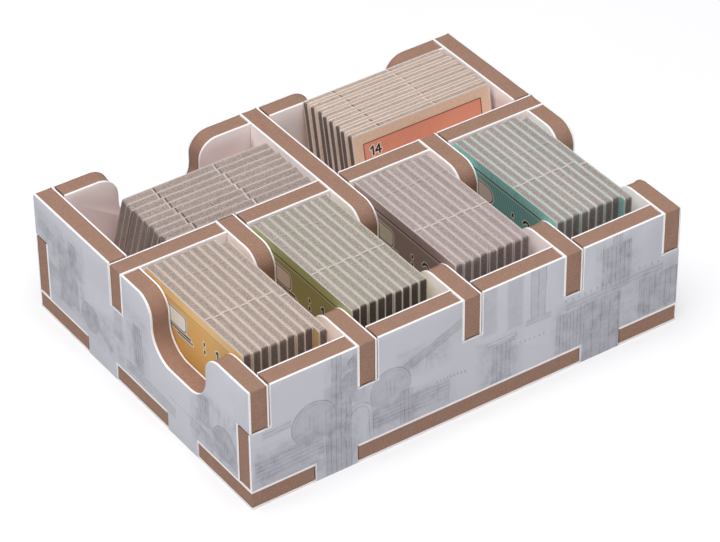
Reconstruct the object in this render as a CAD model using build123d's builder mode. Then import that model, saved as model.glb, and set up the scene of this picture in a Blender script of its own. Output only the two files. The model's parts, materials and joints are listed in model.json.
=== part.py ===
from build123d import *

import os
from math import asin, cos, sin

# A game box insert: an open tray of slotted foam board with six bays, and the
# punched greyboard tiles that stand in them. Millimetres, +Z up, +X along the
# long front wall to the right, +Y to the back. The origin is the middle of the
# tray's footprint, on the surface that it stands on.

os.makedirs("parts", exist_ok=True)

# ---- Tiles ----------------------------------------------------------------
tile_l = 38.5  # long edge, which lies along the floor
tile_h = 27.5  # standing height
tile_t = 2.1  # greyboard with its two printed papers
tile_corner_r = 0.6  # corners left by the punch
tile_gap = 0.1  # air between neighbours in a tight stack
loose_gap = 0.28  # air between neighbours in the peach stack
front_count = 9  # tiles in each upright front stack
back_count = 8  # tiles in each leaning back stack
tile_pitch = tile_t + tile_gap

# ---- Foam board and bays --------------------------------------------------
board_t = 5.0  # foam board, also the floor's height
stack_slack = 2.45  # free width beside a front stack
front_row_slack = 6.5  # free length at the ends of a front stack
back_bay_d = 27.25  # clear depth of the two back bays
rim_below_tile = 1.1  # upright tiles stand this far above the rim
lap_depth = 10.9  # how far boards drop into each other's slots
slot_play = 0.35  # a slot is this much wider than the board in it
lap_play = 0.3  # and a slot from the rim this much deeper than the board's lap
wall_play = 0.2  # air between a tile and the board it leans on

bay_w = front_count * tile_pitch + stack_slack
front_bay_d = tile_l + front_row_slack
wall_h = board_t + tile_h - rim_below_tile
lap_z = wall_h - lap_depth  # underside of what drops into a slot
slot_z = lap_z - lap_play  # floor of a slot cut from the rim
length = 5 * board_t + 4 * bay_w
width = 3 * board_t + front_bay_d + back_bay_d

# ---- Wall tabs that drop into the edges of the base -------------------------
side_tab_w = 12.0  # on the left and right walls
side_tab_y = 16.5  # their centres, each way from the middle
end_tab_w = 10.8  # on the front and back walls
end_tab_x = 35.3  # their centres, each way from the middle

# ---- Finger cutouts ---------------------------------------------------------
cutout_w = 21.5  # between the straight sides
cutout_depth = 14.1  # below the rim
cutout_bottom_r = 7.0
cutout_shoulder_r = 5.0

# ---- Where the stacks stand -------------------------------------------------
front_row_back_gap = 1.8  # from a front stack to the long divider
front_starts = {"yellow": 0.2, "green": 0.2, "mauve": 0.2, "teal": 0.2}  # from each bay's left board
pulled_forward = {"yellow": 2.1, "teal": 1.5}  # the last tile of these stacks stands proud
end_gap = 1.3  # from a back stack's right end to the next board
peach_foot_gap = 3.0  # from the long divider to the front foot of the peach stack
peach_last_shift = 0.5  # how far the last peach tile sticks out to the left
stack_wobble = 0.2  # how unevenly the tiles of a stack line up

# ---- Places worked out from the sizes ---------------------------------------
x_out = length / 2
y_out = width / 2
x_in = x_out - board_t
y_in = y_out - board_t
long_y = -y_in + front_bay_d  # front face of the long divider
back_y = long_y + board_t  # its back face
front_mid_y = (-y_in + long_y) / 2
bay_step = bay_w + board_t
divider_xs = [-bay_step, 0, bay_step]
back_mid_xs = [-bay_step, bay_step]


def panel(low_u, high_u, low_z, high_z, mode=Mode.ADD):
    """Add or cut a rectangle between two corners of the current sketch."""
    with Locations(((low_u + high_u) / 2, (low_z + high_z) / 2)):
        Rectangle(high_u - low_u, high_z - low_z, mode=mode)


def slot(centre, low_z, high_z):
    """Cut a slot for a crossing board, which sits against its left or front side."""
    near_side = centre - board_t / 2
    panel(near_side, near_side + board_t + slot_play, low_z, high_z, mode=Mode.SUBTRACT)


def tabs(places, tab_w):
    """Add tabs below a wall, down through the base."""
    for centre in places:
        panel(centre - tab_w / 2, centre + tab_w / 2, 0, board_t)


def finger_cutout(centre):
    """Cut a U down from the rim, with round shoulders and a round bottom."""
    side = cutout_w / 2
    lip = side + cutout_shoulder_r + 1
    bottom = wall_h - cutout_depth
    with BuildLine() as outline:
        FilletPolyline(
            (centre - lip, wall_h),
            (centre - side, wall_h),
            (centre - side, bottom),
            (centre + side, bottom),
            (centre + side, wall_h),
            (centre + lip, wall_h),
            radius=[cutout_shoulder_r, cutout_bottom_r, cutout_bottom_r, cutout_shoulder_r],
        )
        Polyline(
            (centre + lip, wall_h),
            (centre + lip, wall_h + 1),
            (centre - lip, wall_h + 1),
            (centre - lip, wall_h),
        )
    make_face(outline.edges(), mode=Mode.SUBTRACT)


def lengthwise(back_face_y):
    """The upright sketch plane of a board that runs along X. It is drawn on the board's back face."""
    return Plane.XZ.offset(-back_face_y)


def crosswise(left_face_x):
    """The upright sketch plane of a board that runs along Y. It is drawn on the board's left face."""
    return Plane.YZ.offset(left_face_x)


# ---- Base -------------------------------------------------------------------
# The floor runs out to every outer face. Its edge notches take the wall tabs.
with BuildPart() as base:
    with BuildSketch(Plane.XY):
        Rectangle(length, width)
        with GridLocations(length - board_t, 2 * side_tab_y, 2, 2):
            Rectangle(board_t, side_tab_w + slot_play, mode=Mode.SUBTRACT)
        with GridLocations(2 * end_tab_x, width - board_t, 2, 2):
            Rectangle(end_tab_w + slot_play, board_t, mode=Mode.SUBTRACT)
    extrude(amount=board_t)
base.part.label = "base"
export_step(base.part, "parts/base.step")

# ---- Front and back walls ---------------------------------------------------
# At the corners they run out to the side faces below the lap, and the side
# walls lie on top of them above it.
with BuildPart() as front_wall:
    with BuildSketch(lengthwise(-y_in)):
        panel(-x_out, x_out, board_t, slot_z)
        panel(-x_in + slot_play, x_in, slot_z, wall_h)
        tabs((-end_tab_x, end_tab_x), end_tab_w)
        for x in divider_xs:
            slot(x, slot_z, wall_h)
    extrude(amount=board_t)
front_wall.part.label = "front_wall"
export_step(front_wall.part, "parts/front_wall.step")

with BuildPart() as back_wall:
    with BuildSketch(lengthwise(y_out)):
        panel(-x_out, x_out, board_t, slot_z)
        panel(-x_in + slot_play, x_in, slot_z, wall_h)
        tabs((-end_tab_x, end_tab_x), end_tab_w)
        slot(0, slot_z, wall_h)
        for x in back_mid_xs:
            finger_cutout(x)
    extrude(amount=board_t)
back_wall.part.label = "back_wall"
export_step(back_wall.part, "parts/back_wall.step")


# ---- Left and right walls ---------------------------------------------------
def draw_side_wall():
    """The outline that both side walls share, in the current sketch."""
    panel(-y_in, y_in, board_t, lap_z)
    panel(-y_out, y_out, lap_z, wall_h)
    tabs((-side_tab_y, side_tab_y), side_tab_w)
    slot(long_y + board_t / 2, slot_z, wall_h)
    finger_cutout(front_mid_y)


with BuildPart() as left_wall:
    with BuildSketch(crosswise(-x_out)):
        draw_side_wall()
    extrude(amount=board_t)
left_wall.part.label = "left_wall"
export_step(left_wall.part, "parts/left_wall.step")

with BuildPart() as right_wall:
    with BuildSketch(crosswise(x_in)):
        draw_side_wall()
    extrude(amount=board_t)
right_wall.part.label = "right_wall"
export_step(right_wall.part, "parts/right_wall.step")

# ---- Long divider -----------------------------------------------------------
# Its upper ends drop into the side walls, and its three top slots take the
# dividers that run front to back.
with BuildPart() as long_divider:
    with BuildSketch(lengthwise(back_y)):
        panel(-x_in, x_in, board_t, lap_z)
        panel(-x_out, x_out, lap_z, wall_h)
        for x in divider_xs:
            slot(x, slot_z, wall_h)
    extrude(amount=board_t)
long_divider.part.label = "long_divider"
export_step(long_divider.part, "parts/long_divider.step")

# ---- Middle divider ---------------------------------------------------------
# It crosses the whole tray: its ends drop into the front and back walls, and
# a slot from below straddles the long divider.
with BuildPart() as middle_divider:
    with BuildSketch(crosswise(-board_t / 2)):
        panel(-y_in, y_in, board_t, lap_z)
        panel(-y_out, y_out, lap_z, wall_h)
        slot(long_y + board_t / 2, board_t, lap_z)
        finger_cutout(front_mid_y)
    extrude(amount=board_t)
middle_divider.part.label = "middle_divider"
export_step(middle_divider.part, "parts/middle_divider.step")

# ---- Short dividers ---------------------------------------------------------
# Two identical boards that part the front bays, from the front wall to the
# back face of the long divider.
with BuildPart() as short_dividers:
    for divider_x in (-bay_step, bay_step):
        with BuildSketch(crosswise(divider_x - board_t / 2)):
            panel(-y_in, long_y, board_t, lap_z)
            panel(-y_out, back_y, lap_z, wall_h)
            finger_cutout(front_mid_y)
        extrude(amount=board_t)
short_dividers.part.label = "short_dividers"
export_step(short_dividers.part, "parts/short_dividers.step")


# ---- Tiles ------------------------------------------------------------------
def uneven(number):
    """How far one tile of a stack stands out of line."""
    return stack_wobble * sin(2.4 * number)


def make_tile(name, plane):
    """One tile. The plane lies on its printed face, with its origin in the middle of the lower edge."""
    with BuildPart() as tile:
        with BuildSketch(plane):
            with Locations((0, tile_h / 2)):
                RectangleRounded(tile_l, tile_h, tile_corner_r)
        extrude(amount=-tile_t)
    tile.part.label = name
    export_step(tile.part, f"parts/{name}.step")
    return tile.part


def leaning_plane(middle_x, foot_y, lean):
    """The printed face of a tile that looks forward, its foot at foot_y. A positive lean tips its top forward."""
    foot_z = board_t + max(0, -sin(lean)) * tile_t
    return Plane(
        origin=(middle_x, foot_y, foot_z),
        x_dir=(1, 0, 0),
        z_dir=(0, -cos(lean), -sin(lean)),
    )


def lean_to_fill(space, pitch):
    """The angle at which a leaning stack just fills this much of its bay's depth."""
    lean = 0
    for _ in range(40):
        stack_d = (back_count - 1) * pitch / cos(lean) + tile_t * cos(lean)
        lean = asin((space - stack_d) / tile_h)
    return lean


# The upright front stacks look to the left. Their tiles touch nothing but the floor.
front_stack_mid_y = long_y - front_row_back_gap - tile_l / 2
for bay, (colour, start_gap) in enumerate(front_starts.items()):
    bay_left_x = -x_in + bay * bay_step
    for number in range(1, front_count + 1):
        shift_y = uneven(number + bay)
        if number == front_count:
            shift_y = -pulled_forward.get(colour, 0)
        face_x = bay_left_x + start_gap + (number - 1) * tile_pitch
        upright_plane = Plane(
            origin=(face_x, front_stack_mid_y + shift_y, board_t),
            x_dir=(0, -1, 0),
            z_dir=(-1, 0, 0),
        )
        make_tile(f"{colour}_tile_{number}", upright_plane)

# The rose stack fills the back left bay and leans forward on the long divider.
rose_lean = lean_to_fill(back_bay_d - 2 * wall_play, tile_pitch)
rose_mid_x = -board_t / 2 - end_gap - tile_l / 2
rose_first_foot_y = back_y + wall_play + tile_h * sin(rose_lean)
for number in range(1, back_count + 1):
    foot_y = rose_first_foot_y + (number - 1) * tile_pitch / cos(rose_lean)
    make_tile(f"rose_tile_{number}", leaning_plane(rose_mid_x + uneven(number), foot_y, rose_lean))

# The peach stack leans back on the back wall, its last tile a little out of line.
peach_pitch = tile_t + loose_gap
peach_lean = lean_to_fill(back_bay_d - peach_foot_gap - wall_play, peach_pitch)
peach_mid_x = x_in - end_gap - tile_l / 2
peach_last_foot_y = y_in - wall_play - tile_h * sin(peach_lean) - tile_t * cos(peach_lean)
for number in range(1, back_count + 1):
    shift_x = uneven(number)
    if number == back_count:
        shift_x = -peach_last_shift
    foot_y = peach_last_foot_y - (back_count - number) * peach_pitch / cos(peach_lean)
    make_tile(f"peach_tile_{number}", leaning_plane(peach_mid_x + shift_x, foot_y, -peach_lean))
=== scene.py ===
# %% [markdown]
# # A game box insert and its tiles
# An insert is a light tray that keeps the pieces of a board game in order. This one is slotted together
# from foam board, and 52 punched tiles stand in its six bays. The packed model gives every size and place,
# so the script starts by loading it, and then builds a finer piece over each of its nodes.

# %% Load the packed model
import functools
import json
import math
import random

import bmesh
import bpy
from mathutils import Matrix, Quaternion, Vector, noise


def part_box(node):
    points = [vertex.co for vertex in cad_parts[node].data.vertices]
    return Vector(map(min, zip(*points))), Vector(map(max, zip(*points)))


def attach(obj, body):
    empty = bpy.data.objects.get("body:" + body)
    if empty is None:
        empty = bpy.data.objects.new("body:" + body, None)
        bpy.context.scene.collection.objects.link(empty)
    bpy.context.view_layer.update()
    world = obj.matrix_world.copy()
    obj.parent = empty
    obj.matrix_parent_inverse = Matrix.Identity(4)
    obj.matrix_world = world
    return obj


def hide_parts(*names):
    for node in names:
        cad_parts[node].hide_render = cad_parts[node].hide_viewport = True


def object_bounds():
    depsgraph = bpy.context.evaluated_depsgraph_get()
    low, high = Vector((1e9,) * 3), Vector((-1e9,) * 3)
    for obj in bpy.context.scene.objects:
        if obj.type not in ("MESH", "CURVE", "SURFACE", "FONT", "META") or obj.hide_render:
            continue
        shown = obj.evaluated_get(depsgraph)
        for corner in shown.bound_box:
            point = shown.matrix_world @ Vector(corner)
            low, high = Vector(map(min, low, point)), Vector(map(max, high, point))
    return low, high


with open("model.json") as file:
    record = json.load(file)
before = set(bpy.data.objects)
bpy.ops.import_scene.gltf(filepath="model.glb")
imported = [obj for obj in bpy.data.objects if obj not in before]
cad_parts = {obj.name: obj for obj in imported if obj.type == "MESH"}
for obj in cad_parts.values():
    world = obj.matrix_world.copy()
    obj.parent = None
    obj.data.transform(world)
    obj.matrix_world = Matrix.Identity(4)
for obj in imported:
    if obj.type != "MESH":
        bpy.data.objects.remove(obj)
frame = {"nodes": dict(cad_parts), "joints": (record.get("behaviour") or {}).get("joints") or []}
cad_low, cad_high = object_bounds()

MM = 0.001
scene = bpy.context.scene

# %% [markdown]
# ## Camera, floor and light
# A small product is best seen through a long lens from some way off, which keeps its upright edges
# upright. The floor and the sky are near white, and one broad lamp hangs over the tray. Most light comes
# from all round, so shadows stay soft and only the gaps between boards go dark.

# %% Camera
LENS = 171.5
AIM = Vector((-1.0, -2.8, 14.0)) * MM
DISTANCE = 765.7 * MM
AZIMUTH = math.radians(-34.36)
ELEVATION = math.radians(36.62)
ROLL = math.radians(-0.6)


def direction(azimuth, elevation):
    """A unit vector from the object towards the viewer."""
    flat = math.cos(elevation)
    return Vector((math.sin(azimuth) * flat, -math.cos(azimuth) * flat, math.sin(elevation)))


lens = bpy.data.cameras.new("camera")
lens.lens = LENS
camera = bpy.data.objects.new("camera", lens)
scene.collection.objects.link(camera)
towards = direction(AZIMUTH, ELEVATION)
camera.location = AIM + towards * DISTANCE
camera.rotation_mode = "QUATERNION"
camera.rotation_quaternion = (-towards).to_track_quat("-Z", "Y") @ Quaternion((0, 0, 1), ROLL)
scene.camera = camera
print("camera stands at", [round(c, 3) for c in camera.location])


# %% [markdown]
# ## A short way to write node trees
# Materials and Geometry Nodes are both trees of nodes. `Tree.add` makes any node, and a `Wire` stands for
# one output socket. Wires take part in arithmetic, and each operation adds its own Math node, so a
# pattern can be written as a formula and read as one.

# %% Node helpers
class Wire:
    """An output socket whose arithmetic adds Math nodes."""

    def __init__(self, tree, socket):
        self.tree = tree
        self.socket = socket

    def math(self, operation, *values, clamp=False):
        settings = {"operation": operation, "use_clamp": clamp}
        return self.tree.add("ShaderNodeMath", settings, dict(enumerate(values)))

    def __add__(self, other):
        return self.math("ADD", self, other)

    def __radd__(self, other):
        return self.math("ADD", other, self)

    def __sub__(self, other):
        return self.math("SUBTRACT", self, other)

    def __rsub__(self, other):
        return self.math("SUBTRACT", other, self)

    def __mul__(self, other):
        return self.math("MULTIPLY", self, other)

    def __rmul__(self, other):
        return self.math("MULTIPLY", other, self)

    def __truediv__(self, other):
        return self.math("DIVIDE", self, other)

    def __abs__(self):
        return self.math("ABSOLUTE", self)

    def clamped(self):
        return self.math("ADD", self, 0.0, clamp=True)

    def at_least(self, other):
        return self.math("MAXIMUM", self, other)

    def at_most(self, other):
        return self.math("MINIMUM", self, other)

    def root(self):
        return self.math("SQRT", self)

    def pingpong(self, reach):
        """Up and down between 0 and reach, over and over."""
        return self.math("PINGPONG", self, reach)


class Tree:
    """A node tree built up from Python expressions."""

    def __init__(self, node_tree, material=None):
        self.node_tree = node_tree
        self.material = material

    def add(self, kind, settings=None, values=None, output=0):
        """Make a node, set it up, feed its sockets with numbers or wires, and return one of its outputs."""
        node = self.node_tree.nodes.new(kind)
        for key, value in (settings or {}).items():
            if key == "items":
                while len(node.index_switch_items) < value:
                    node.index_switch_items.new()
            else:
                setattr(node, key, value)
        for key, value in (values or {}).items():
            if isinstance(value, Wire):
                self.node_tree.links.new(value.socket, node.inputs[key])
            else:
                node.inputs[key].default_value = value
        return Wire(self, node.outputs[output])

    def mix(self, share, first, second):
        """Blend two colours by a share from 0 to 1."""
        values = {0: share, 6: first, 7: second}
        return self.add("ShaderNodeMix", {"data_type": "RGBA"}, values, output=2)

    def noise(self, place, scale, detail=3.0, roughness=0.55):
        """Soft noise from 0 to 1, with features about 1/scale long."""
        values = {"Vector": place, "Scale": scale, "Detail": detail, "Roughness": roughness}
        return self.add("ShaderNodeTexNoise", None, values)

    def scaled(self, vector, factor):
        return self.add("ShaderNodeVectorMath", {"operation": "SCALE"}, {0: vector, "Scale": factor})

    def times(self, vector, factors):
        return self.add("ShaderNodeVectorMath", {"operation": "MULTIPLY"}, {0: vector, 1: factors})

    def parts(self, vector):
        """The three numbers of a vector."""
        first = self.add("ShaderNodeSeparateXYZ", None, {0: vector})
        return [Wire(self, out) for out in first.socket.node.outputs]

    def bump(self, height, strength, distance):
        values = {"Strength": strength, "Distance": distance, "Height": height}
        return self.add("ShaderNodeBump", None, values)


def tint(code):
    """A colour written as six hex digits, as the linear values that shaders use."""
    shares = [int(code[i : i + 2], 16) / 255 for i in (0, 2, 4)]
    return (*[s / 12.92 if s <= 0.04045 else ((s + 0.055) / 1.055) ** 2.4 for s in shares], 1.0)


def new_material(name):
    """The empty tree of a new material."""
    material = bpy.data.materials.new(name)
    material.use_nodes = True
    material.node_tree.nodes.clear()
    return Tree(material.node_tree, material)


def finish_material(tree, colour, roughness, normal=None, specular=0.5, glow=None):
    """End a tree in one Principled shader, with plain numbers set on it, and return the material."""
    values = {"Base Color": colour, "Roughness": roughness, "Specular IOR Level": specular}
    if normal is not None:
        values["Normal"] = normal
    if glow is not None:
        values["Emission Color"] = glow
        values["Emission Strength"] = 1.0
    shader = tree.add("ShaderNodeBsdfPrincipled", None, values)
    end = tree.node_tree.nodes.new("ShaderNodeOutputMaterial")
    tree.node_tree.links.new(shader.socket, end.inputs["Surface"])
    return tree.material


def vector(tree, x=0.0, y=0.0, z=0.0):
    """Three numbers as one vector."""
    return tree.add("ShaderNodeCombineXYZ", None, {0: x, 1: y, 2: z})


def object_place(tree):
    """Object coordinates, in millimetres."""
    return tree.scaled(tree.add("ShaderNodeTexCoord", output=3), 1000.0)


print("node helpers are ready")

# %% [markdown]
# ## A white sweep
# The floor reflects half of the light and glows a little, so it is white right under the tray and only a
# faint shadow is left. The glow grows where the lamp no longer reaches. The sky is white at the horizon,
# where it meets the floor, and grey overhead.

# %% Floor, sky and lamps
FLOOR_SIZE = 6.0
GLOW_START = 225.0  # millimetres from the middle at which the floor's glow begins to grow
GLOW_REACH = 900.0
HAZE_TOP = 0.064  # how high the white horizon reaches, as a share of the way up
HAZE_FADE = 0.071

tree = new_material("pale_floor")
mottle = tree.noise(object_place(tree), 0.01, 2.0)
east, north, _ = tree.parts(object_place(tree))
far_away = (((east * east + north * north).root() - GLOW_START) / GLOW_REACH).clamped()
glow = tree.mix(far_away, tint("b4b4b5"), tint("f4f4f7"))
pale_grey = tree.mix(mottle, tint("bebebf"), tint("c4c4c4"))
floor_material = finish_material(tree, pale_grey, 0.9, specular=0.1, glow=glow)
bpy.ops.mesh.primitive_plane_add(size=FLOOR_SIZE, location=(0, 0, cad_low.z - 0.02 * MM))
floor = bpy.context.object
floor.name = "floor"
floor.data.materials.append(floor_material)

sky = bpy.data.worlds.new("sky")
sky.use_nodes = True
sky.node_tree.nodes.clear()
tree = Tree(sky.node_tree)
height = tree.parts(tree.add("ShaderNodeTexCoord"))[2]
above_haze = ((height - HAZE_TOP) / HAZE_FADE).clamped()
sky_colour = tree.mix(above_haze, tint("fcfcfe"), tint("5f6067"))
background = tree.add("ShaderNodeBackground", None, {"Color": sky_colour})
sky_end = sky.node_tree.nodes.new("ShaderNodeOutputWorld")
sky.node_tree.links.new(background.socket, sky_end.inputs["Surface"])
scene.world = sky
scene.view_settings.view_transform = "Standard"


def soft_lamp(name, place, size, watts):
    """A square lamp that looks at the tray."""
    lamp = bpy.data.lights.new(name, "AREA")
    lamp.size = size
    lamp.energy = watts
    holder = bpy.data.objects.new(name, lamp)
    scene.collection.objects.link(holder)
    holder.location = place
    holder.rotation_euler = (-Vector(place)).to_track_quat("-Z", "Y").to_euler()
    print(name, "shines with", watts, "W")


soft_lamp("overhead_lamp", (-0.16, -0.1, 0.9), 0.9, 10.7)
soft_lamp("front_lamp", (-0.5, -0.9, 0.55), 0.5, 0.1)

# %% [markdown]
# ## Board finishes
# The boards are a brown foam core between two white paper liners. The cut shows the foam, which is finely
# cellular, and the liners stand a hair proud of it as two bright lines. The outer liners are printed with
# pale technical drawings. Each finish is its own material, worked out from Object coordinates in
# millimetres, because nothing else is needed on flat sheets.

# %% Foam core and plain liners
def foam_core():
    """The cut edge of the foam: brown, finely cellular, a little uneven in tone."""
    tree = new_material("brown_foam_core")
    place = object_place(tree)
    clouds = tree.noise(place, 0.35, 3.0)
    grain = tree.noise(tree.times(place, (1.0, 1.0, 1.6)), 4.5, 4.0, 0.7)
    cells = tree.add("ShaderNodeTexVoronoi", {"feature": "F1"}, {"Vector": place, "Scale": 5.5})
    toned = tree.mix(clouds, tint("916e5e"), tint("a98672"))
    speckled = tree.mix(((grain - 0.5) * 3.0 + 0.5).clamped(), tint("6f4f40"), tint("bd9a85"))
    colour = tree.mix(0.5, toned, speckled)
    dust = ((tree.noise(place, 1.3, 1.0) - 0.8) * 12.0).clamped()
    colour = tree.mix(dust, colour, tint("e2d2c6"))
    height = cells * 0.6 + grain * 0.8
    return finish_material(tree, colour, 0.86, tree.bump(height, 0.45, 0.00012), specular=0.25)


def liner_edge():
    """The cut edge of a white paper liner, slightly furry."""
    tree = new_material("white_liner_edge")
    place = object_place(tree)
    fibre = tree.noise(place, 3.0, 3.0)
    colour = tree.mix(fibre, tint("f1ebea"), tint("ffffff"))
    return finish_material(tree, colour, 0.75, tree.bump(fibre, 0.35, 0.0001), specular=0.3)


def plain_liner():
    """An unprinted inner face, white with a breath of pink and a paper tooth."""
    tree = new_material("plain_white_liner")
    place = object_place(tree)
    clouds = tree.noise(place, 0.06, 2.0)
    tooth = tree.noise(place, 6.0, 3.0)
    colour = tree.mix(clouds, tint("fdece6"), tint("fff6f3"))
    return finish_material(tree, colour, 0.62, tree.bump(tooth, 0.2, 0.00005), specular=0.35)


brown_core = foam_core()
white_edge = liner_edge()
white_liner = plain_liner()
print("plain finishes:", brown_core.name, white_edge.name, white_liner.name)

# %% [markdown]
# ## Drawing with distances
# A printed line can be drawn without any picture file. For each point the tree works out how far it is
# from a circle, a box or a stroke. That distance is below zero inside the shape, so a soft step at zero
# fills it, and a soft step round zero draws its outline.

# %% Distances to printed shapes
INK_SOFTNESS = 0.07  # how wide the edge of a printed line is, in millimetres


def circle_gap(u, v, at, radius):
    """Distance outside a circle."""
    across = u - at[0]
    up = v - at[1]
    return (across * across + up * up).root() - radius


def box_gap(u, v, at, size, corner=0.0):
    """Distance outside a box with round corners."""
    across = abs(u - at[0]) - (size[0] / 2 - corner)
    up = abs(v - at[1]) - (size[1] / 2 - corner)
    past_side = across.at_least(0.0)
    past_top = up.at_least(0.0)
    inside = across.at_least(up).at_most(0.0)
    return (past_side * past_side + past_top * past_top).root() + inside - corner


def stroke_gap(u, v, start, end, width):
    """Distance outside a round-ended stroke."""
    run = end[0] - start[0]
    rise = end[1] - start[1]
    across = u - start[0]
    up = v - start[1]
    along = ((across * run + up * rise) / (run * run + rise * rise)).clamped()
    off = across - along * run
    over = up - along * rise
    return (off * off + over * over).root() - width / 2


def fill(gap, softness=INK_SOFTNESS):
    """1 inside a shape and 0 outside it."""
    return (0.5 - gap / softness).clamped()


def outline(gap, width, softness=INK_SOFTNESS):
    """1 on a line along the shape's edge."""
    return fill(abs(gap) - width / 2, softness)


def joined(masks):
    """The strongest of several masks."""
    return functools.reduce(Wire.at_least, masks)


def nearest(gaps):
    """The distance to the nearest of several shapes."""
    return functools.reduce(Wire.at_most, gaps)


print("ink edge", INK_SOFTNESS, "mm")

# %% [markdown]
# ## The printed walls
# The outside of the tray carries a faint machine drawing: wheels, pipes, beams and hatched columns, a
# shade darker than the pale blue-grey paper. A drawing is a list of such shapes in millimetres along and
# up the wall. Each wall has its own arrangement.

# %% Machine drawing shapes
DRAWN_LINE = 0.2
WAVER = 0.7  # how far the drawing strays from true, in millimetres


class Drawing:
    """The pale washes and the darker lines of one wall's print."""

    def __init__(self, tree, along, up):
        waver = tree.noise(object_place(tree), 0.2, 2.0) - 0.5
        self.along = along + waver * WAVER
        self.up = up - waver * WAVER
        self.lines = []
        self.washes = []
        self.zones = []

    def block(self, left, right, low, high):
        """Distance outside a level box."""
        middle = ((left + right) / 2, (low + high) / 2)
        return box_gap(self.along, self.up, middle, (right - left, high - low))

    def strip(self, left, right, low, high, strength=0.8):
        """A flat wash with soft ends."""
        self.washes.append(fill(self.block(left, right, low, high), 0.8) * strength)

    def sketch(self, left, right, low, high):
        """A patch filled with loose sketchwork."""
        self.zones.append(fill(self.block(left, right, low, high), 3.0))

    def wheel(self, x, z, radius):
        """A rim that fades towards its foot, a few upright strokes inside it and a wash."""
        rim = circle_gap(self.along, self.up, (x, z), radius)
        fading = ((self.up - (z - radius)) / radius * 0.6 + 0.25).clamped()
        self.lines.append(outline(rim, DRAWN_LINE * 1.4) * fading)
        self.lines.append(outline(rim + 0.8, DRAWN_LINE) * fading * 0.45)
        wave = (self.along - x).pingpong(0.5)
        inner = self.block(x - radius * 0.3, x + radius * 0.35, z - radius * 0.45, z + radius * 0.4)
        self.lines.append(fill(wave - DRAWN_LINE / 2) * fill(inner) * 0.6)
        self.washes.append(fill(rim, 0.6))

    def bundle(self, left, right, low, high, pitch):
        """Upright pipes side by side, drawn as evenly spaced lines over a wash."""
        body = self.block(left, right, low, high)
        wave = (self.along - left).pingpong(pitch / 2)
        uprights = fill(wave - DRAWN_LINE / 2) * fill(body)
        self.lines.append(uprights.at_least(outline(body, DRAWN_LINE) * 0.7))
        self.washes.append(fill(body, 0.6) * 0.9)

    def rails(self, start, end, count, pitch):
        """Parallel rails from one point to another, level or slanting."""
        run = math.dist(start, end)
        east = (end[0] - start[0]) / run
        north = (end[1] - start[1]) / run
        right = self.along - start[0]
        above = self.up - start[1]
        far = right * east + above * north
        side = above * east - right * north
        within = fill(abs(far - run / 2) - run / 2) * fill(abs(side) - (count - 0.5) * pitch / 2)
        wave = (side + count * pitch / 2).pingpong(pitch / 2)
        self.lines.append(fill(wave - DRAWN_LINE / 2) * within * 0.8)
        self.washes.append(within * 0.6)

    def column(self, x, low, high, width):
        """A shaft with a foot, a flared head and a few upright lines."""
        self.bundle(x - width / 2, x + width / 2, low, high, width / 4)
        for z, spread in ((low, 0.8), (low + 0.9, 0.3), (high, 0.9), (high + 0.9, 1.5)):
            plate = self.block(x - width / 2 - spread, x + width / 2 + spread, z - 0.4, z + 0.4)
            self.lines.append(outline(plate, DRAWN_LINE) * 0.8)

    def bend(self, x, z, radius, foot):
        """A pipe that rises, turns over in a half circle and comes down again."""
        upper = fill(z - self.up)
        lower = fill(self.block(x - 2 * radius, x + 2 * radius, foot, z))
        for size in (radius, radius * 0.72):
            over = outline(circle_gap(self.along, self.up, (x, z), size), DRAWN_LINE)
            legs = outline(abs(self.along - x) - size, DRAWN_LINE)
            self.lines.append((over * upper).at_least(legs * lower))

    def ticks(self, start, end, pitch=0.9):
        """A row of short marks, like the divisions of a scale."""
        run = math.dist(start, end)
        rise = (end[1] - start[1]) / run
        side = self.up - start[1] - (self.along - start[0]) * rise
        wave = self.along.pingpong(pitch / 2)
        marks = fill(wave - DRAWN_LINE) * fill(abs(side) - 0.35)
        self.lines.append(marks * fill(self.block(start[0], end[0], -1.0, 40.0)) * 0.8)


print("shapes:", [name for name in vars(Drawing) if name[0] != "_"])


# %% [markdown]
# ## Four arrangements
# Each wall's drawing is a list of places for each kind of shape, in millimetres from the middle of the wall
# and up from the floor. The front has wheels and pipes on the left and columns on the right, the left wall
# a pump and a wheel, the back the same workshop from behind, and the right wall a hoist.

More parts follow.
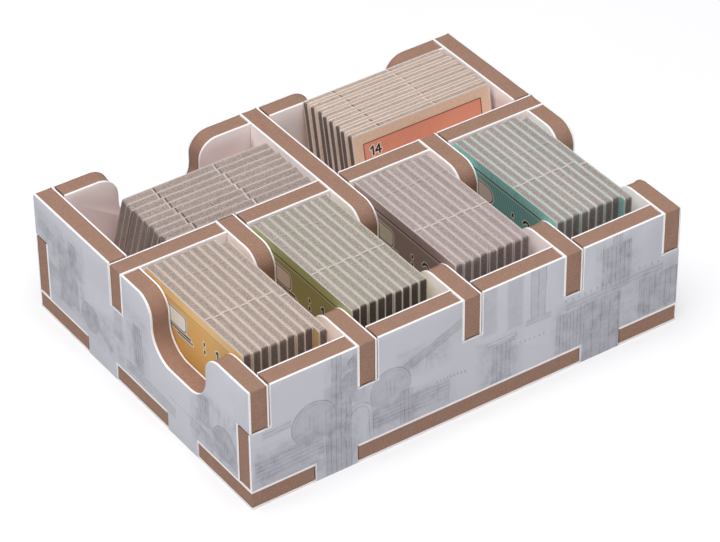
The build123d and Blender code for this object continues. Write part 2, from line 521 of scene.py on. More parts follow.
# %% What is drawn on each wall
WALL_DRAWINGS = {
    "front": {
        "sketch": [
            (-56, -29, 2, 15), (-37, -27, 15, 30), (-27, -5, 5, 13), (-19, -6, 17.5, 24),
            (2, 13, 5, 17), (22.5, 57, -1, 18), (34, 45, 18, 30),
        ],
        "strip": [
            (-38.5, -30.5, 18, 24, 0.7), (-56.5, -40, 4.5, 8.5, 0.5), (2.4, 6.6, 19, 33),
            (9.4, 13.6, 18.2, 33, 1), (31.5, 39, 2, 14, 0.6),
        ],
        "wheel": [(-41, 16.2, 5.6), (-21.3, 16.5, 5.2), (-31.3, 22.6, 2.9), (-30.2, 27.6, 1.9)],
        "bundle": [
            (-38, -31.5, 0, 18, 1.3), (-36.4, -34, 18, 33, 1.2), (-18.8, -15.6, 5.5, 14, 1.1),
            (15.8, 19.6, 18.6, 33, 1.9), (23, 30.6, 5.5, 15.6, 0.95), (30.6, 40.6, -1, 15.8, 2.4),
            (35.4, 43.2, 17.5, 28.6, 1.2), (38.2, 40.6, 28.6, 33, 0.8), (46, 56.6, 5.8, 15.8, 1.5),
        ],
        "rails": [
            ((-56, 9.5), (-38.5, 9.8), 6, 1.1), ((-54, 18.5), (-46.5, 18.7), 3, 0.9),
            ((-26, 10), (-5.8, 9.4), 6, 1), ((-18, 19.8), (4.4, 28.6), 4, 0.8),
            ((14.4, 17.8), (21.4, 17.6), 3, 0.8), ((25.5, 17.2), (52.5, 17.4), 3, 1),
        ],
        "column": [(7.9, 4.4, 15.4, 5)],
        "bend": [(-29.5, 12.5, 3.6, 5.8)],
        "ticks": [
            ((-9.7, 12.6), (-1.5, 12.2)), ((12.5, 13.4), (20, 13), 1.3), ((24, 19), (52, 19.2), 1.7),
        ],
    },
    "left": {
        "sketch": [(-42, -23, 7, 28), (-24, -6, 6, 15), (-5, 3, 6, 24), (21, 39, 4, 20)],
        "strip": [(-10.5, -7, 12.5, 21.5, 0.9)],
        "wheel": [(-21, 10.8, 3.6), (33.5, 11, 4.4)],
        "bundle": [(-29, -25.8, 9.5, 27, 0.8), (-2.4, 1.2, 9, 21, 0.9)],
        "rails": [
            ((-42, 24.5), (-33, 23), 4, 0.9), ((-40.5, 15), (-33.5, 14), 5, 0.8),
            ((-24.5, 14.5), (-12, 6.8), 3, 0.8), ((-6, 7.8), (14, 6.6), 4, 0.9),
            ((20, 8.6), (41, 7.8), 4, 1),
        ],
        "column": [(-31.5, 8.5, 24, 4.4), (25.5, 11.5, 19, 4.2)],
        "ticks": [((12, 10), (21, 9.6), 1.1)],
    },
    "back": {
        "sketch": [(-54, -12, 1, 16), (-9, 19, 6, 22), (34, 55, 6, 28)],
        "strip": [(-9, -3, 6.5, 20, 0.7)],
        "wheel": [(-44, 20, 4.8), (6, 14, 5.4)],
        "bundle": [(-38, -33, 0, 16, 1), (38.8, 43.6, 15, 29, 0.95)],
        "rails": [
            ((-52, 11.5), (-14, 10.5), 5, 1), ((-12, 9), (-3, 27), 4, 0.9), ((2, 8.6), (48, 9.4), 5, 1),
        ],
        "column": [(-20.5, 6, 13, 4.4), (50.5, 8, 18, 4.6)],
        "bend": [(13.5, 18, 3.4, 6.5)],
        "ticks": [((17, 13.2), (34, 13.6), 1.2)],
    },
    "right": {
        "sketch": [(-41, -20, 6, 27), (-8, 14, 5, 22), (26, 42, 6, 27)],
        "wheel": [(-34, 17, 5.2), (10, 9.5, 3.2)],
        "bundle": [(-27.4, -23.8, 8, 26, 0.9), (33, 37.5, 11, 27, 1.1)],
        "rails": [
            ((-23, 24), (-12, 13), 3, 0.9), ((-40, 9.2), (4, 9.8), 5, 1), ((14, 8.4), (41, 9), 4, 1),
        ],
        "column": [(-2, 13, 22, 4.6)],
        "ticks": [((-20, 12), (-6, 12.2), 1.2)],
    },
}
for wall, shapes in WALL_DRAWINGS.items():
    print(wall, "is drawn with", sum(len(places) for places in shapes.values()), "shapes")


# %% [markdown]
# ## Paper, washes and ink
# The tinted paper comes first, then the pale washes and blots, then the lines. Worn patches make each of
# them stronger in one place and fainter in another, and loose sketchwork fills the zones between shapes.

# %% Printed liners
def sketchwork(tree, along, up, place):
    """Loose curves, upright strokes and level strokes that fade in and out."""
    curve = tree.noise(place, 0.34, 3.0, 0.55)
    curves = fill(abs(curve - 0.5) - 0.006, 0.012)
    upright = tree.noise(vector(tree, x=along * 2.1, y=up * 0.13), 1.0, 2.0)
    level = tree.noise(vector(tree, x=along * 0.1, y=up * 2.1 + 31.0), 1.0, 2.0)
    choice = ((tree.noise(place, 0.09, 1.0) - 0.5) * 14.0 + 0.5).clamped()
    uprights = ((upright - 0.53) * 9.0).clamped() * choice
    levels = ((level - 0.54) * 9.0).clamped() * (1.0 - choice) * 0.7
    return (curves * 0.9).at_least(uprights.at_least(levels) * 0.6)


def printed_liner(wall, side, sign):
    """The printed outer face of one wall. Side 0 runs along X and side 1 along Y."""
    tree = new_material(f"printed_{wall}")
    place = object_place(tree)
    axes = tree.parts(place)
    drawing = Drawing(tree, axes[side] * sign, axes[2])
    for shape, places in WALL_DRAWINGS[wall].items():
        for numbers in places:
            getattr(drawing, shape)(*numbers)
    clouds = tree.noise(place, 0.06, 3.0)
    blots = tree.noise(place, 0.3, 4.0, 0.6)
    worn = ((tree.noise(place, 0.35, 4.0, 0.65) - 0.5) * 3.0 + 0.55).clamped()
    sketch = sketchwork(tree, axes[side], axes[2], place) * joined(drawing.zones)
    paper = tree.mix(clouds, tint("c0c1c9"), tint("cdcdd3"))
    blotted = joined(drawing.zones) * (((blots - 0.4) * 3.0).clamped() * 0.6 + 0.15)
    shaded = joined(drawing.washes) * 0.55 + blotted
    washed = tree.mix((shaded * (worn * 0.4 + 0.4)).clamped(), paper, tint("96949f"))
    drawn = joined(drawing.lines) * (worn * 0.5 + 0.2)
    inked = tree.mix(drawn.at_least(sketch * (worn * 0.45 + 0.1)), washed, tint("716e75"))
    tooth = tree.noise(place, 5.0, 3.0)
    flecked = tree.mix(((tooth - 0.6) * 3.0).clamped() * 0.25, inked, tint("a6a3a6"))
    return finish_material(tree, flecked, 0.5 + clouds * 0.1, tree.bump(tooth, 0.15, 0.00004), specular=0.4)


wall_prints = {
    "front": printed_liner("front", 0, 1.0),
    "left": printed_liner("left", 1, -1.0),
    "back": printed_liner("back", 0, -1.0),
    "right": printed_liner("right", 1, 1.0),
}
for wall, material in wall_prints.items():
    print(wall, "wall's print has", len(material.node_tree.nodes), "nodes")

# %% [markdown]
# ## The slotted boards
# Every board of the tray is a flat outline with a thickness. The outline is read from the packed model:
# the edge loop of its broad face. Rings of that loop are then stacked through the thickness, each drawn
# in a little, so that the liners stand proud of the foam and the cut corners are rolled, not razor
# sharp. Rings of points are better than a bevel here, because each layer gets its own width and finish.

# %% Read a board's outline
STEP = 2.0 * MM  # spacing of points along straight edges


def islands(mesh):
    """The separate solids of a bmesh, as lists of faces."""
    left = dict.fromkeys(mesh.faces)  # a dict keeps its order, so every run starts at the same face
    found = []
    while left:
        group = [next(iter(left))]
        del left[group[0]]
        for face in group:
            for edge in face.edges:
                for other in edge.link_faces:
                    if other in left:
                        del left[other]
                        group.append(other)
        found.append(group)
    return found


def edge_loop(faces):
    """The points round the outside of a patch of faces, in order."""
    patch = set(faces)
    ahead = {}
    for face in faces:
        for loop in face.loops:
            if not any(other in patch for other in loop.edge.link_faces if other is not face):
                ahead[loop.vert] = loop.link_loop_next.vert
    start = next(iter(ahead))
    points = [start.co.copy()]
    here = ahead[start]
    while here is not start:
        points.append(here.co.copy())
        here = ahead[here]
    return points


def stepped(points):
    """The same loop with more points on its long straight edges."""
    result = []
    for here, there in zip(points, points[1:] + points[:1]):
        count = max(1, round((there - here).length / STEP))
        result += [here.lerp(there, i / count) for i in range(count)]
    return result


def board_solids(node, across):
    """For each solid of a board: its outline on the high face, and its thickness."""
    mesh = bmesh.new()
    mesh.from_mesh(frame["nodes"][node].data)
    bmesh.ops.remove_doubles(mesh, verts=mesh.verts, dist=0.005 * MM)
    solids = []
    for faces in islands(mesh):
        places = [vert.co[across] for face in faces for vert in face.verts]
        top = max(places)
        broad = [f for f in faces if all(abs(v.co[across] - top) < 0.01 * MM for v in f.verts)]
        solids.append((stepped(edge_loop(broad)), top - min(places)))
    mesh.free()
    return solids


# %% [markdown]
# ## Layers through a board
# Each ring of points has a depth, an inset and a little unevenness. The two liners keep the full outline,
# and the foam between them lies a fraction of a millimetre further in and is rougher.

# %% Build a layered board
LINER = 0.5  # thickness of a paper liner, in millimetres
HIGH_FACE, LINER_EDGE, FOAM, LOW_FACE = range(4)  # a board's material slots


def inward(points, across):
    """At each point, how far to go into the board for each unit of inset."""
    normal = Vector([1.0 if axis == across else 0.0 for axis in range(3)])
    result = []
    for before, here, after in zip(points[-1:] + points[:-1], points, points[1:] + points[:1]):
        arriving = normal.cross(here - before).normalized()
        leaving = normal.cross(after - here).normalized()
        middle = (arriving + leaving).normalized()
        result.append(middle / max(0.5, middle.dot(arriving)))
    return result


def layers(thickness):
    """Depth, inset and unevenness of each ring, and the finish of the band below it."""
    near = [
        (0.0, 0.12, 0.0),
        (0.05, 0.04, 0.01),
        (0.14, 0.0, 0.01),
        (LINER, 0.0, 0.02),
        (LINER + 0.04, 0.13, 0.03),
        (thickness * 0.35 / MM, 0.16, 0.05),
    ]
    far = [(thickness / MM - depth, inset, rough) for depth, inset, rough in near[::-1]]
    finishes = [LINER_EDGE] * 3 + [FOAM] * 4 + [LINER_EDGE] * 4 + [None]
    return [(d * MM, inset * MM, rough * MM, f) for (d, inset, rough), f in zip(near + far, finishes)]


def add_board(mesh, points, thickness, across):
    """Add one layered board to a bmesh."""
    normal = Vector([1.0 if axis == across else 0.0 for axis in range(3)])
    insets = inward(points, across)
    rings = []
    finishes = []
    for depth, inset, rough, finish in layers(thickness):
        ring = []
        for point, way in zip(points, insets):
            lump = 0.5 + 0.5 * noise.noise(Vector(point) * 900 + normal * depth * 4000)
            place = point - normal * depth + way * (inset + rough * lump)
            ring.append(mesh.verts.new(place))
        rings.append(ring)
        finishes.append(finish)
    mesh.faces.new(rings[0]).material_index = HIGH_FACE
    mesh.faces.new(rings[-1][::-1]).material_index = LOW_FACE
    for upper, lower, finish in zip(rings, rings[1:], finishes):
        for i in range(len(upper)):
            j = (i + 1) % len(upper)
            mesh.faces.new((upper[i], lower[i], lower[j], upper[j])).material_index = finish


def finished_piece(name, mesh, materials, sharp=35.0):
    """A linked object with smooth faces and sharp corners."""
    for material in materials:
        mesh.materials.append(material)
    mesh.polygons.foreach_set("use_smooth", [True] * len(mesh.polygons))
    mesh.set_sharp_from_angle(angle=math.radians(sharp))
    piece = bpy.data.objects.new(name, mesh)
    scene.collection.objects.link(piece)
    return piece


def make_board(node, across, high_face, low_face):
    """Replace one board node by its layered piece."""
    mesh = bmesh.new()
    for points, thickness in board_solids(node, across):
        add_board(mesh, points, thickness, across)
    data = bpy.data.meshes.new(f"{node}_board")
    mesh.to_mesh(data)
    mesh.free()
    piece = finished_piece(f"{node}_board", data, [high_face, white_edge, brown_core, low_face])
    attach(piece, "tray")
    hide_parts(node)
    print(node, "has", len(data.vertices), "points")


# %% [markdown]
# ## The tray's boards
# The base, four walls and the dividers differ only in the axis that they are thin along and in which face
# is printed. The two short dividers share one node, so they are one piece.

# %% Make all the boards
make_board("base", 2, white_liner, white_liner)
make_board("front_wall", 1, white_liner, wall_prints["front"])
make_board("back_wall", 1, wall_prints["back"], white_liner)
make_board("left_wall", 0, white_liner, wall_prints["left"])
make_board("right_wall", 0, wall_prints["right"], white_liner)
make_board("long_divider", 1, white_liner, white_liner)
make_board("middle_divider", 0, white_liner, white_liner)
make_board("short_dividers", 0, white_liner, white_liner)

# %% [markdown]
# ## Tile finishes
# A tile is greyboard with a printed paper on each side. The punch leaves a furry grey edge, with the cut
# papers as two pale lines. Each colour of tile has its own print: a border, a double line, a darker
# panel, a blank card with its shadow, two dots and a numeral. The tile's own coordinates travel with it
# as an attribute, so the print stays in place on upright and on leaning tiles alike.

# %% Tile palette
TILE_LENGTH = 38.5
TILE_HEIGHT = 27.5
TILE_THICKNESS = 2.1
USUAL_LOOK = {
    "round_card": False,
    "print_at": (1.3, 0.2),
    "hatch": 0.2,
    "frame_line": 1.0,
    "paper_thickness": 0.2,
    # How dark the painted shadow beside a nick and how bright its fibres are, for the left nick and the right
    # one.
    "nick_tones": ((0.2, 0.2), (0.2, 0.9)),
}
BOLD_NICKS = ((0.85, 0.6), (0.5, 0.9))
# Each colour has its own strength of painted shade on the tile ends.
PALETTE = {
    "yellow": {
        "border": "ecbd6c", "panel": "dba455", "card": "efe6d8", "numeral": "1",
        "paper": ("dccdc2", "dfc084"), "board": ("b7a59b", "aa9b90"), "nicks": (-11.5, 4.0),
        "end_shade": 0.6, "rubbed": 0.8, "print_at": (2.1, 0.9), "hatch": 0.04, "frame_line": 0.3,
    },
    "green": {
        "border": "b4bf74", "panel": "a5a068", "card": "e0cfbd", "numeral": "1",
        "paper": ("d3cec3", "c8cbb2"), "board": ("b3a9a0", "a59e93"), "nicks": (-11.8, 3.5),
        "end_shade": 0.85, "rubbed": 0.8, "print_at": (1.1, 0.2), "hatch": 0.22,
    },
    "mauve": {
        "border": "a5878a", "panel": "9f8882", "card": "d5cab4", "numeral": "2",
        "paper": ("d8cac6", "cbb9b5"), "board": ("b8a9a6", "a99b96"), "nicks": (-11.5, 3.7),
        "end_shade": 0.42, "rubbed": 0.7,
    },
    "teal": {
        "border": "8ad8d0", "panel": "80b4ac", "card": "dccbbb", "numeral": "2",
        "paper": ("d2d9d3", "aed2c9"), "board": ("b4a5a1", "a59893"), "nicks": (-6.8, 2.8),
        "end_shade": 0.42, "rubbed": 0.7, "hatch": 0.5, "round_card": True, "paper_thickness": 0.18,
    },
    "rose": {
        "border": "b08a88", "panel": "a27c7a", "card": "dbc7bc", "numeral": "3",
        "paper": ("d0c1bb", "c4b1ab"), "board": ("b1a19a", "a2938c"), "nicks": (-11.8, 4.3),
        "end_shade": 0.15, "rubbed": 0.6, "hatch": 0.18, "nick_tones": BOLD_NICKS,
    },
    "peach": {
        "border": "f6dabd", "panel": "f29c80", "card": None, "numeral": "14",
        "paper": ("f1e3d6", "ecd8c5"), "board": ("cbbab0", "bbaaa0"), "nicks": (-11.8, 4.0),
        "end_shade": 0.62, "rubbed": 0.9, "hatch": 0.0, "nick_tones": BOLD_NICKS, "paper_thickness": 0.32,
    },
}
PALETTE = {colour_name: {**USUAL_LOOK, **look} for colour_name, look in PALETTE.items()}
print("tile colours", list(PALETTE))

# %% [markdown]
# ## Greyboard and paper edges
# Greyboard is matted waste paper, so its cut edge is a mottle of pale and dark fibres, paler beside the
# papers and darker at a tile's ends, where painted shade stands in for the shade of the gaps. A nick, where
# the tile was torn from its sheet, has pale fluff, with a painted shadow beside it for the hollow.

# %% The cut edges
END_SHADE_REACH = 0.3  # how far the painted shade at a tile's ends reaches from them


def tile_place(tree):
    """The tile's own coordinates in millimetres: along, depth from the print, and up."""
    stored = tree.add("ShaderNodeAttribute", {"attribute_name": "tile_place"}, output=1)
    return tree.scaled(stored, 1000.0)


def tile_tone(tree):
    """A number from 0 to 1 that differs from tile to tile."""
    return tree.add("ShaderNodeAttribute", {"attribute_name": "tile_tone"}, output=2)


def greyboard(colour_name, look):
    """The punched edge: matted fibres and dark bits, paler beside the papers, with painted shade at the ends
    and painted shadows beside the nicks.
    """
    tree = new_material(f"{colour_name}_greyboard")
    along, depth, _ = tree.parts(tile_place(tree))
    world = object_place(tree)
    strands = tree.noise(world, 2.0, 4.0, 0.85)
    fine = tree.noise(world, 4.2, 2.0, 0.8)
    bits = tree.noise(world, 3.6, 2.0)
    light, dark = (tint(code) for code in look["board"])
    base = tree.mix(tile_tone(tree), light, dark)
    # Paler towards the papers.
    near_papers = ((abs(depth - TILE_THICKNESS / 2) - 0.3) * 2.0).clamped()
    base = tree.mix(near_papers * 0.45, base, tint(look["paper"][0]))
    fleck = ((strands - 0.5) * 4.0 + (fine - 0.5) * 4.5 + 0.45).clamped()
    mottled = tree.mix(fleck * 0.62, base, tint("796860"))
    glinting = tree.mix(((fine - 0.54) * 9).clamped() * 0.65, mottled, tint("f0e5db"))
    speck = ((bits - 0.58) * 9).clamped()
    colour = tree.mix(speck * 0.6, glinting, tint("57483f"))
    for nick, (shadow_strength, bright) in zip(look["nicks"], look["nick_tones"]):
        # Painted shadow: a dark stripe beside the tuft stands in for the shade in the nick's hollow.
        painted_nick_shadow = fill(abs(along - (nick + 0.5)) - 0.16, 0.12)
        colour = tree.mix(painted_nick_shadow * shadow_strength, colour, tint("443831"))
        fluff = fill(abs(along - nick) - 0.2, 0.12) * ((strands - 0.35) * 3.0).clamped()
        colour = tree.mix(fluff * bright, colour, tint("fbf4ee"))
    # Painted shade: the tile's ends are darkened, standing in for the shade in the narrow gaps round them.
    painted_shade_at_ends = fill(TILE_LENGTH / 2 - END_SHADE_REACH - abs(along), 0.3)
    colour = tree.mix(painted_shade_at_ends * look["end_shade"], colour, tint("46342c"))
    height = strands * 1.2 + fine
    return finish_material(tree, colour, 0.92, tree.bump(height, 0.8, 0.0002), specular=0.15)


def paper_edge(colour_name, look):
    """The cut edge of the printed papers, cream with some of the print's colour."""
    tree = new_material(f"{colour_name}_paper_edge")
    world = object_place(tree)
    wear = tree.noise(world, 0.5, 3.0)
    fibre = tree.noise(world, 3.0, 3.0)
    share = ((tile_tone(tree) - 0.72) * 4.0 + (wear - 0.5) * 1.5).clamped()
    pale, strong = (tint(code) for code in look["paper"])
    rubbed = ((fibre - 0.45) * 4).clamped() * 0.45
    colour = tree.mix(rubbed, tree.mix(share, pale, strong), tint(look["board"][0]))
    return finish_material(tree, colour, 0.7, tree.bump(fibre, 0.4, 0.00008), specular=0.3)


# %% [markdown]
# ## Numerals
# A numeral is a few straight strokes with round ends, drawn in a square one numeral high.

# %% Numerals from strokes
FIGURES = {
    "1": [[(-0.22, 0.28), (0.06, 0.5), (0.06, -0.5)]],
    "2": [[(-0.3, 0.28), (-0.12, 0.48), (0.14, 0.48), (0.3, 0.26), (0.22, 0), (-0.32, -0.48), (0.34, -0.48)]],
    "3": [[(-0.3, 0.48), (0.28, 0.48), (0.0, 0.08), (0.3, -0.18), (0.0, -0.5), (-0.3, -0.36)]],
    "4": [[(0.16, 0.5), (-0.34, -0.16), (0.36, -0.16)], [(0.16, 0.5), (0.16, -0.5)]],
}
FIGURE_PITCH = 0.72  # from one figure to the next, as a share of their height


def figure_gap(u, v, text, at, height, width):
    """Distance outside a numeral drawn with strokes."""
    gaps = []
    for place, figure in enumerate(text):
        middle = at[0] + (place - (len(text) - 1) / 2) * height * FIGURE_PITCH
        for stroke in FIGURES[figure]:
            points = [(middle + x * height, at[1] + y * height) for x, y in stroke]
            gaps += [stroke_gap(u, v, *ends, width) for ends in zip(points, points[1:])]
    return nearest(gaps)


print("figures", list(FIGURES))

# %% [markdown]
# ## The print on a tile
# The front has a border, a hatched panel and, on most colours, a blank card with its shadow. The peach tiles
# have a numeral in the panel's corner instead. Each mix covers the one before, in the order of printing.

# %% Printed faces
CARD_PLACE = (-9.2, -7.2)  # from the middle and from the top edge
CARD_SIZE = (7.4, 4.0)


def card_print(tree, u, v, look, colour):
    """A blank card with its shadow, two dots and a numeral, as on the front stacks."""
    ink = tint("2a2220")
    pale = tint("e9dfd2")
    u = u - look["print_at"][0]
    v = v - look["print_at"][1] - TILE_HEIGHT
    card = box_gap(u, v, CARD_PLACE, CARD_SIZE, 2.4 if look["round_card"] else 1.1)
    long_shadow = stroke_gap(u, v, (-11.6, -9.9), (-3.9, -9.9), 0.6)
    shadow = long_shadow.at_most(stroke_gap(u, v, (-8.8, -10.75), (-3.0, -10.65), 0.45))
    figure_height = 2.2 if look["numeral"] == "1" else 3.6
    figure = figure_gap(u, v, look["numeral"], (7.0, -6.4 - figure_height / 2), figure_height, 0.6)
    dots = [stroke_gap(u, v, (1.9, up - 0.2), (1.9, up + 0.2), 0.7) for up in (-7.4, -9.5)]
    marks = nearest([figure, *dots])
    layers_of_ink = [
        (shadow - 0.34, pale),
        (shadow, ink),
        (card - 0.55, pale),
        (card - 0.25, ink),
        (card, tint(look["card"])),
        (marks - 0.26, pale),
        (marks, ink),
    ]
    for gap, shade in layers_of_ink:
        colour = tree.mix(fill(gap), colour, shade)
    return colour


def paper_texture(tree):
    """Slow clouds in the ink and the fine grain of the paper."""
    world = object_place(tree)
    return tree.noise(world, 0.25, 4.0, 0.6), tree.noise(world, 2.6, 3.0)


def finish_print(tree, colour, gloss, grain):
    """End a printed paper's tree: satin, with the paper's grain."""
    gloss = gloss + grain * 0.15
    return finish_material(tree, colour, gloss, tree.bump(grain, 0.12, 0.00005), specular=0.4)


def printed_face(colour_name, look):
    """The printed front of one colour of tile."""
    tree = new_material(f"{colour_name}_printed_face")
    u, _, v = tree.parts(tile_place(tree))
    wash, grain = paper_texture(tree)
    framed = look["card"] is None
    margin = 2.8 if framed else 2.5
    panel_size = (TILE_LENGTH - 2 * margin, TILE_HEIGHT - 2 * margin)
    panel = box_gap(u, v, (0.0, TILE_HEIGHT / 2), panel_size)
    border = tree.mix(wash * 0.25, tint(look["border"]), tint("f0e4cf"))
    border = tree.mix(((grain - 0.45) * 1.5).clamped(), border, tint(look["panel"]))
    streak = tree.noise(vector(tree, x=u * 3.0, y=v * 0.4), 1.0, 2.0)
    border = tree.mix(((streak - 0.5) * 3.0).clamped() * look["hatch"], border, tint("3c352c"))
    hatch = (u * 0.94 + v * 0.34).pingpong(0.42)
    hatching = fill(hatch - 0.12, 0.12) * look["hatch"]
    tile_edge = box_gap(u, v, (0.0, TILE_HEIGHT / 2), (TILE_LENGTH, TILE_HEIGHT))
    rubbed = ((tile_edge + 0.55) * 2.4).clamped() * look["rubbed"]
    border = tree.mix(rubbed, border, tint(look["paper"][0]))
    inside = tree.mix(wash * 0.3, tint(look["panel"]), tint(look["border"]))
    inside = tree.mix(hatching, inside, tint("2f2a24"))
    colour = tree.mix(fill(panel), border, inside)
    if not framed:
        colour = tree.mix(outline(panel + 0.55, 0.22) * look["frame_line"], colour, tint("d8cdb4"))
    frame_ink = tint("8a5442" if framed else "33291f")
    colour = tree.mix(outline(panel, 0.26) * look["frame_line"], colour, frame_ink)
    if framed:
        marks = figure_gap(u, v, look["numeral"], (-13.4, TILE_HEIGHT - 5.2), 2.1, 0.42)
        colour = tree.mix(fill(marks - 0.3), colour, tint("f4e6d8"))
        colour = tree.mix(fill(marks), colour, tint("1d1816"))
    else:
        colour = card_print(tree, u, v, look, colour)
    return finish_print(tree, colour, 0.42, grain)


def back_face(colour_name, look):
    """The plain back of a tile: a border round a field of small diamonds."""
    tree = new_material(f"{colour_name}_back_face")
    u, _, v = tree.parts(tile_place(tree))
    wash, grain = paper_texture(tree)
    panel = box_gap(u, v, (0.0, TILE_HEIGHT / 2), (TILE_LENGTH - 5.0, TILE_HEIGHT - 5.0), 1.5)
    rising = abs((u + v).pingpong(1.6) - 0.8)
    falling = abs((u - v + 60.0).pingpong(1.6) - 0.8)
    lattice = fill(0.72 - rising.at_least(falling), 0.1)
    border = tree.mix(wash * 0.4, tint(look["border"]), tint("f0e4cf"))
    inside = tree.mix(lattice * 0.35, tint(look["panel"]), tint(look["border"]))
    colour = tree.mix(fill(panel), border, inside)
    colour = tree.mix(outline(panel, 0.3), colour, tint("3a3029"))
    return finish_print(tree, colour, 0.45, grain)


def torn_fibre():
    """The pale torn fibres of a nick."""
    tree = new_material("torn_fibre")
    fluff = tree.noise(object_place(tree), 1.4, 3.0, 0.7)
    along = tree.parts(tile_place(tree))[0]
    share = ((fluff - 0.5) * 3.0 + 0.5).clamped()
    fresh = tree.mix(share, tint("b5a598"), tint("fdf6f0"))
    dulled = tree.mix(share, tint("8d7e74"), tint("c2b5ab"))
    colour = tree.mix((along * 0.5 + 0.5).clamped(), dulled, fresh)
    return finish_material(tree, colour, 0.9, tree.bump(fluff, 0.6, 0.0001), specular=0.15)


nick_material = torn_fibre()
tile_looks = {}
for colour_name, look in PALETTE.items():
    tile_looks[colour_name] = {
        "Print": printed_face(colour_name, look),
        "Paper Edge": paper_edge(colour_name, look),
        "Board": greyboard(colour_name, look),
        "Back": back_face(colour_name, look),
        "Nick": nick_material,
    }
print("tile finishes", sum(len(looks) for looks in tile_looks.values()))

# %% [markdown]
# ## The punched tile, in Geometry Nodes
# All 52 tiles are one shape, and differ only in their finish, their small unevenness and where the punch
# left its nicks. That is a job for one Geometry Nodes tree with named inputs. A short line runs through
# the thickness, with a point for each layer and a radius that draws each layer in. A rounded rectangle
# swept along it makes the layered edge and both faces. The nicks are instances on two points of the top
# edge and two of the bottom edge.

# %% Inputs of the tile tree
TILE_SIZES = {
    "Length": TILE_LENGTH,
    "Height": TILE_HEIGHT,
    "Thickness": TILE_THICKNESS,
    "Corner Radius": 0.6,
    "Paper": USUAL_LOOK["paper_thickness"],
    "Edge Roll": 0.2,
    "Board Recess": 0.06,
    "Nick Left": 0.0,
    "Nick Right": 0.0,
}
tile_group = bpy.data.node_groups.new("punched_tile", "GeometryNodeTree")
tile_group.interface.new_socket("Geometry", in_out="OUTPUT", socket_type="NodeSocketGeometry")
input_keys = {}


def add_input(label, kind):
    """A named input of the tree. A modifier is told about it by its identifier, which is kept."""
    socket = tile_group.interface.new_socket(label, in_out="INPUT", socket_type=f"NodeSocket{kind}")
    input_keys[label] = socket.identifier
    return socket


for label, size in TILE_SIZES.items():
    add_input(label, "Float").default_value = size * MM
add_input("Seed", "Int")
add_input("Tone", "Float")
for label in ("Print", "Paper Edge", "Board", "Back", "Nick"):
    add_input(label, "Material")
print("tile tree inputs", input_keys)

# %% [markdown]
# ## The layered slab
# Every ring is one point of the line: its place gives the depth, and its radius gives the inset.

# %% Sweep the slab
def given(tree, label):
    """One of the tree's named inputs."""
    source = tree.node_tree.nodes.new("NodeGroupInput")
    return Wire(tree, source.outputs[label])


def by_index(tree, kind, choices):
    """Of several values, the one whose number is the point's index."""
    values = {0: tree.add("GeometryNodeInputIndex")}
    for number, choice in enumerate(choices, 1):
        values[number] = choice
    return tree.add("GeometryNodeIndexSwitch", {"data_type": kind, "items": len(choices)}, values)


def ring_values(tree):
    """Depth and inset of each ring, from the print to the back."""
    thickness = given(tree, "Thickness")
    paper = given(tree, "Paper")
    roll = given(tree, "Edge Roll")
    recess = given(tree, "Board Recess")
    flat = roll * 0.0
    return [
        (flat, roll),
        (roll * 0.12, roll * 0.5),
        (roll * 0.4, roll * 0.14),
        (roll * 0.8, flat),
        (paper, flat),
        (paper * 1.15, recess),
        (thickness * 0.36, recess * 1.2),
        (thickness * 0.64, recess * 1.2),
        (thickness - paper * 1.15, recess),
        (thickness - paper, flat),
        (thickness - roll * 0.5, flat),
        (thickness - roll * 0.2, roll * 0.15),
        (thickness, roll * 0.5),
    ]


def layered_slab(tree):
    """A rounded rectangle swept through the thickness, in and out with the layers."""
    depths, insets = zip(*ring_values(tree))
    depth = by_index(tree, "FLOAT", depths)
    inset = by_index(tree, "FLOAT", insets)
    line = tree.add("GeometryNodeMeshLine", None, {"Count": len(depths)})
    line = tree.add("GeometryNodeSetPosition", None, {"Geometry": line, "Position": vector(tree, y=depth)})
    spine = tree.add("GeometryNodeMeshToCurve", None, {0: line})
    share = 1.0 - inset * 2.0 / given(tree, "Height")
    spine = tree.add("GeometryNodeSetCurveRadius", None, {"Curve": spine, "Radius": share})
    spine = tree.add("GeometryNodeSetCurveNormal", {"mode": "Z_UP"}, {0: spine})
    size = {"Width": given(tree, "Length"), "Height": given(tree, "Height")}
    shape = tree.add("GeometryNodeCurvePrimitiveQuadrilateral", None, size)
    corner = {"Curve": shape, "Count": 4, "Radius": given(tree, "Corner Radius")}
    shape = tree.add("GeometryNodeFilletCurve", {"mode": "POLY"}, corner)
    shape = tree.add("GeometryNodeSubdivideCurve", None, {"Curve": shape, "Cuts": 5})
    sweep = {"Curve": spine, "Profile Curve": shape, "Fill Caps": True}
    return tree.add("GeometryNodeCurveToMesh", None, sweep)


tiles = Tree(tile_group)
slab = layered_slab(tiles)
print("slab nodes", len(tile_group.nodes))


# %% [markdown]
# ## Rough board
# Only the points between the papers move: noise pushes them a few hundredths of a millimetre inwards. The
# seed shifts the noise, so that no two tiles have the same edge.

# %% Roughen the board
def compare(tree, operation, first, second):
    """True where the comparison of two numbers holds."""
    return tree.add("FunctionNodeCompare", {"operation": operation}, {0: first, 1: second})


place = tiles.add("GeometryNodeInputPosition")
depth = tiles.parts(place)[1]
half = given(tiles, "Thickness") * 0.5
in_board = compare(tiles, "LESS_THAN", abs(depth - half), half - given(tiles, "Paper") * 1.05)
seed = given(tiles, "Seed")
drift = vector(tiles, seed * 0.031, seed * 0.017, 0.0)
noise_place = tiles.add("ShaderNodeVectorMath", {"operation": "ADD"}, {0: place, 1: drift})
lumps = tiles.noise(noise_place, 700.0, 2.0)
way = tiles.add("GeometryNodeInputNormal")
push = tiles.scaled(way, lumps * (-0.05 * MM))
roughened = {"Geometry": slab, "Selection": in_board, "Offset": push}
rough_slab = tiles.add("GeometryNodeSetPosition", None, roughened)
print("roughened, nodes", len(tile_group.nodes))

# %% [markdown]
# ## Nicks
# A tile is torn from its sheet at two places along the top and two along the bottom. Each leaves a flat
# tuft of fibres, which is a small box set on a point and frayed by finer noise.

